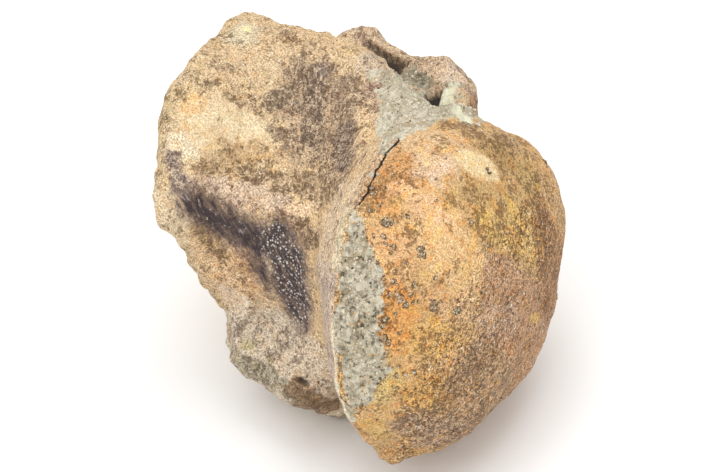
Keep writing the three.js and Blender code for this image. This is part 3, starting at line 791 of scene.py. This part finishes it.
# Painted shade: the sand's pits are darkened inside.
paste = mixed(tree, calc(tree, "MULTIPLY", pits, 0.6), paste, (0.27, 0.215, 0.13, 1))
paste = tinted(tree, calc(tree, "MULTIPLY", step(tree, speck, -0.1, 0.3), 0.8), paste, (0.66, 0.62, 0.56))
paste = mixed(tree, calc(tree, "MULTIPLY", step(tree, chip, 0.25, 0.5), 0.65), paste, (0.95, 0.90, 0.80, 1))
dots_share = calc(tree, "MULTIPLY_ADD", coarse_share, 0.3, 0.35)
dots = calc(tree, "MULTIPLY", step(tree, dust, 0.46, 0.62), dots_share)
paste = mixed(tree, dots, paste, (0.09, 0.07, 0.045, 1))
clay_edge = calc(tree, "MULTIPLY_ADD", pale, 0.4, attribute(tree, "clay"))
clay_tone = mixed(tree, step(tree, rust, -0.5, 0.5), (0.92, 0.91, 0.70, 1), (0.82, 0.78, 0.54, 1))
paste = mixed(tree, calc(tree, "MULTIPLY", step(tree, clay_edge, -0.1, 0.3), 0.9), paste, clay_tone)
colour = mixed(tree, sand_share, colour, paste)
# Painted shade in the canal: near black in the slot and the hole, dusky on the far wall.
colour = mixed(tree, step(tree, attribute(tree, "hole_and_painted_shade"), -0.2, 0.9), colour, (0.05, 0.035, 0.025, 1))

# The crack, painted near black as shade inside it, and a last dulling of the whole.
crack_away = calc(tree, "ABSOLUTE", calc(tree, "MULTIPLY_ADD", chip, 0.22, attribute(tree, "crack")))
crack_share = step(tree, crack_away, 0.25, 0.10)
colour = mixed(tree, crack_share, colour, (0.035, 0.018, 0.010, 1))
colour = mixed(tree, 1.0, colour, (0.92, 0.92, 0.92, 1), "MULTIPLY")
tree.links.new(colour, shader.inputs["Base Color"])
tree.links.new(calc(tree, "MULTIPLY_ADD", chip, -0.15, 0.72), shader.inputs["Roughness"])

# Relief too fine for the skin: strands and grains stand a little proud, and the crack and pits are deep.
rises = calc(tree, "MULTIPLY", strands, 0.10)
rises = calc(tree, "MULTIPLY_ADD", grain, 0.05, rises)
rises = calc(tree, "MULTIPLY_ADD", speck, -0.08, rises)
rises = calc(tree, "MULTIPLY_ADD", mineral_share, -0.08, rises)
rises = calc(tree, "MULTIPLY_ADD", calc(tree, "MULTIPLY", pits, sand_share), -0.35, rises)
rises = calc(tree, "MULTIPLY_ADD", white, 0.15, rises)
rises = calc(tree, "MULTIPLY_ADD", crack_share, -0.3, rises)
relief = put(tree, "ShaderNodeBump", {"Height": rises, "Distance": MM, "Strength": 1.0})
tree.links.new(relief.outputs[0], shader.inputs["Normal"])

bone.data.materials.append(bone_finish)
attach(bone, "root")
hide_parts("vertebra")


# ---- nodules and sand grains ----------------------------------------------------------------------------
# Small hard lumps stuck to the bone: round nodules of brown mineral with dark rims along the ball's edge, and
# the coarser grains of the sand. Each is a knobbly ball pressed flat against the surface it sits on.

stuck = bpy.data.node_groups.new("Stuck lumps", "GeometryNodeTree")
for socket, kind in (("Spots", "NodeSocketGeometry"), ("Facets", "NodeSocketInt"), ("Thickness", FLOAT)):
    stuck.interface.new_socket(socket, in_out="INPUT", socket_type=kind)
for socket, kind in (("Knob height", FLOAT), ("Knob size", FLOAT), ("Finish", "NodeSocketMaterial")):
    stuck.interface.new_socket(socket, in_out="INPUT", socket_type=kind)
stuck.interface.new_socket("Lumps", in_out="OUTPUT", socket_type="NodeSocketGeometry")
given, result = stuck.nodes.new("NodeGroupInput"), stuck.nodes.new("NodeGroupOutput")
SPIN_SEED, WIDTH_SEED, TONE_SEED = 3, 5, 8


def chance(low, high, seed):
    made = put(stuck, "FunctionNodeRandomValue", {"Seed": seed}, data_type="FLOAT")
    made.inputs[2].default_value, made.inputs[3].default_value = low, high
    return made.outputs[1]


pebble = put(stuck, "GeometryNodeMeshIcoSphere", {"Radius": 1.0, "Subdivisions": given.outputs["Facets"]})
own_place = put(stuck, "GeometryNodeInputPosition").outputs[0]
lift = put(stuck, "ShaderNodeSeparateXYZ", {0: own_place}).outputs["Z"]
pebble = put(
    stuck, "GeometryNodeStoreNamedAttribute",
    {"Geometry": pebble.outputs["Mesh"], "Name": "lift", "Value": lift},
    data_type="FLOAT", domain="POINT",
)
facing = put(stuck, "GeometryNodeInputNamedAttribute", {"Name": "facing"}, data_type="FLOAT_VECTOR")
size = put(stuck, "GeometryNodeInputNamedAttribute", {"Name": "size"}, data_type="FLOAT")
lying = put(stuck, "FunctionNodeAlignRotationToVector", {"Vector": facing.outputs[0]}, axis="Z")
spin = put(stuck, "ShaderNodeCombineXYZ", {"Z": chance(0, math.tau, SPIN_SEED)})
spun = put(
    stuck, "FunctionNodeRotateRotation", {"Rotation": lying.outputs[0], "Rotate By": spin.outputs[0]},
    rotation_space="LOCAL",
)
wide = calc(stuck, "MULTIPLY", size.outputs[0], chance(0.7, 1.3, WIDTH_SEED))
high = calc(stuck, "MULTIPLY", size.outputs[0], given.outputs["Thickness"])
shape = put(stuck, "ShaderNodeCombineXYZ", {"X": wide, "Y": size.outputs[0], "Z": high})
set_down = put(stuck, "GeometryNodeInstanceOnPoints", {
    "Points": given.outputs["Spots"], "Instance": pebble.outputs[0], "Rotation": spun.outputs[0],
    "Scale": shape.outputs[0],
})
toned = put(
    stuck, "GeometryNodeStoreNamedAttribute",
    {"Geometry": set_down.outputs[0], "Name": "tone", "Value": chance(0, 1, TONE_SEED)},
    data_type="FLOAT", domain="INSTANCE",
)
real = put(stuck, "GeometryNodeRealizeInstances", {"Geometry": toned.outputs[0]})
knobs = put(stuck, "ShaderNodeTexNoise", {"Detail": 1.0})
stuck.links.new(calc(stuck, "DIVIDE", 1.0, given.outputs["Knob size"]), knobs.inputs["Scale"])
outwards = put(stuck, "GeometryNodeInputNormal").outputs[0]
push = put(stuck, "ShaderNodeVectorMath", {0: outwards}, operation="SCALE")
centred = calc(stuck, "SUBTRACT", knobs.outputs[0], 0.5)
knob_rise = calc(stuck, "MULTIPLY", centred, given.outputs["Knob height"])
stuck.links.new(knob_rise, push.inputs["Scale"])
knobbly = put(stuck, "GeometryNodeSetPosition", {"Geometry": real.outputs[0], "Offset": push.outputs[0]})
finished = put(
    stuck, "GeometryNodeSetMaterial",
    {"Geometry": knobbly.outputs[0], "Material": given.outputs["Finish"]},
)
stuck.links.new(finished.outputs[0], result.inputs[0])


def stick_on(name, chosen, sizes, sink, **given_values):
    """Lumps of the given sizes (mm) on chosen vertices of the bone, sunk in by a part of their size."""
    sizes = np.broadcast_to(sizes, len(chosen))
    facings = normals(bone.data)[chosen]
    spots = positions(bone.data)[chosen] - facings * (sizes * sink * MM)[:, None]
    mesh = bpy.data.meshes.new(name)
    mesh.from_pydata(spots.tolist(), [], [])
    keep(mesh, "size", sizes * MM)
    keep(mesh, "facing", facings, "FLOAT_VECTOR")
    piece = bpy.data.objects.new(name, mesh)
    bpy.context.scene.collection.objects.link(piece)
    maker = piece.modifiers.new("lumps", "NODES")
    maker.node_group = stuck
    sockets = {item.name: item.identifier for item in stuck.interface.items_tree if item.in_out == "INPUT"}
    for key, value in given_values.items():
        maker[sockets[key.replace("_", " ")]] = value
    settle(piece)
    piece.data.shade_smooth()
    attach(piece, "root")


draw = np.random.default_rng(11)
off_floor = ease(0.8, 1.6, surface[:, 2])

NODULE_COUNT = 90
NODULE_MIDDLES = [
    [-35.5, 6], [-34.6, 6.4], [-34, 2], [-30.5, 2.7], [-30.2, 2], [-31.5, -6.2], [-30.6, -6.8],
    [-29.8, -7], [-26.5, -6], [-31, -11], [-30.8, -12.2], [-23.5, 11], [-29.5, -14.3], [-28.6, -15],
    [-28, -17], [-22.5, -5.5], [-29, 12.5],
]
NODULE_RADII = [1.0, 0.6, 0.7, 1.0, 0.8, 0.7, 0.9, 0.7, 1.0, 0.8, 0.7, 0.8, 0.9, 0.8, 0.7, 1.0, 0.6]
beside_strip = ease(-0.5, -2, strip) * ease(9, 2, out - strip_reach) * ease(-66, -50, angle)
beside_strip = beside_strip * ease(34, 20, angle)
likely = (beside_strip + 0.05) * on_ball * off_floor
scattered = draw.choice(len(places), NODULE_COUNT, replace=False, p=likely / likely.sum())
placed_ones = [
    int(np.argmin(np.linalg.norm(ball - middle, axis=1) + 99 * (behind < 0))) for middle in NODULE_MIDDLES
]
nodule_sizes = np.append(NODULE_RADII, 0.22 + 0.5 * draw.random(NODULE_COUNT) ** 2)

nodule_finish, tree, shader, spot = new_finish("nodule_mineral")
shader.inputs["Specular IOR Level"].default_value = 0.12
fine_tone = placed(tree, flecks, Vector=spot, Size=0.24).outputs["Tone"]
tone = attribute(tree, "tone")
top = mixed(tree, step(tree, tone, 0.3, 0.7), (0.25, 0.18, 0.10, 1), (0.44, 0.28, 0.14, 1))
top = mixed(tree, step(tree, fine_tone, 0.66, 0.84), top, (0.68, 0.57, 0.42, 1))
top = mixed(tree, step(tree, fine_tone, 0.38, 0.15), top, (0.11, 0.08, 0.05, 1))
rim_share = step(tree, attribute(tree, "lift"), 0.72, 0.40)
tree.links.new(mixed(tree, rim_share, top, (0.10, 0.065, 0.04, 1)), shader.inputs["Base Color"])
tree.links.new(calc(tree, "MULTIPLY_ADD", fine_tone, 0.2, 0.6), shader.inputs["Roughness"])
stick_on(
    "ball_nodules", np.append(placed_ones, scattered), nodule_sizes, 0.15,
    Facets=3, Thickness=0.5, Knob_height=1.3 * MM, Knob_size=0.6 * MM, Finish=nodule_finish,
)

GRAIN_COUNT = 1500
likely = ease(0.1, 0.6, sand) * ease(0.3, -0.2, clay) * ease(0, -1, hole_and_painted_shade) * off_floor
grains = draw.choice(len(places), GRAIN_COUNT, replace=False, p=likely / likely.sum())

grain_finish, tree, shader, spot = new_finish("sand_grain")
tone = attribute(tree, "tone")
grey = mixed(tree, step(tree, tone, 0.1, 0.6), (0.46, 0.40, 0.28, 1), (0.80, 0.73, 0.60, 1))
grey = mixed(tree, step(tree, tone, 0.09, 0.06), grey, (0.12, 0.10, 0.07, 1))
grey = mixed(tree, step(tree, tone, 0.90, 0.94), grey, (0.66, 0.42, 0.20, 1))
mottle = placed(tree, flecks, Vector=spot, Size=0.25).outputs["Tone"]
tree.links.new(tinted(tree, mottle, grey, (0.8, 0.78, 0.74)), shader.inputs["Base Color"])
tree.links.new(calc(tree, "MULTIPLY_ADD", mottle, 0.3, 0.55), shader.inputs["Roughness"])
stick_on(
    "sand_grains", grains, 0.14 + 0.26 * draw.random(GRAIN_COUNT) ** 2, 0.2,
    Facets=1, Thickness=0.8, Knob_height=0.2 * MM, Knob_size=0.3 * MM, Finish=grain_finish,
)


# ---- the stage ------------------------------------------------------------------------------------------
# A white table under soft daylight: the main light is nearly overhead, and a weaker one stands in front.

bpy.ops.mesh.primitive_plane_add(size=6)
floor = bpy.context.object
floor.name = "floor"
floor_finish = bpy.data.materials.new("white_table")
floor_finish.use_nodes = True
floor_shader = floor_finish.node_tree.nodes["Principled BSDF"]
floor_shader.inputs["Base Color"].default_value = (0.95, 0.95, 0.95, 1)
floor_shader.inputs["Roughness"].default_value = 0.7
floor.data.materials.append(floor_finish)


def area_light(name, azimuth, elevation, distance, size, power):
    """A square light that faces the bone from the given side."""
    data = bpy.data.lights.new(name, "AREA")
    data.size = size
    data.energy = power
    lamp = bpy.data.objects.new(name, data)
    a, e = math.radians(azimuth), math.radians(elevation)
    place = Vector((math.sin(a) * math.cos(e), -math.cos(a) * math.cos(e), math.sin(e))) * distance
    lamp.location = place
    lamp.rotation_euler = place.to_track_quat("Z", "Y").to_euler()
    bpy.context.scene.collection.objects.link(lamp)


area_light("top", -150, 82, 1.3, 0.9, 6.8)
area_light("front", 0, 58, 1.4, 0.8, 4.5)

world = bpy.data.worlds.new("studio")
world.use_nodes = True
sky = world.node_tree.nodes["Background"]
sky.inputs["Color"].default_value = (1, 1, 1, 1)
sky.inputs["Strength"].default_value = 0.80
bpy.context.scene.world = world
bpy.context.scene.view_settings.view_transform = "Standard"
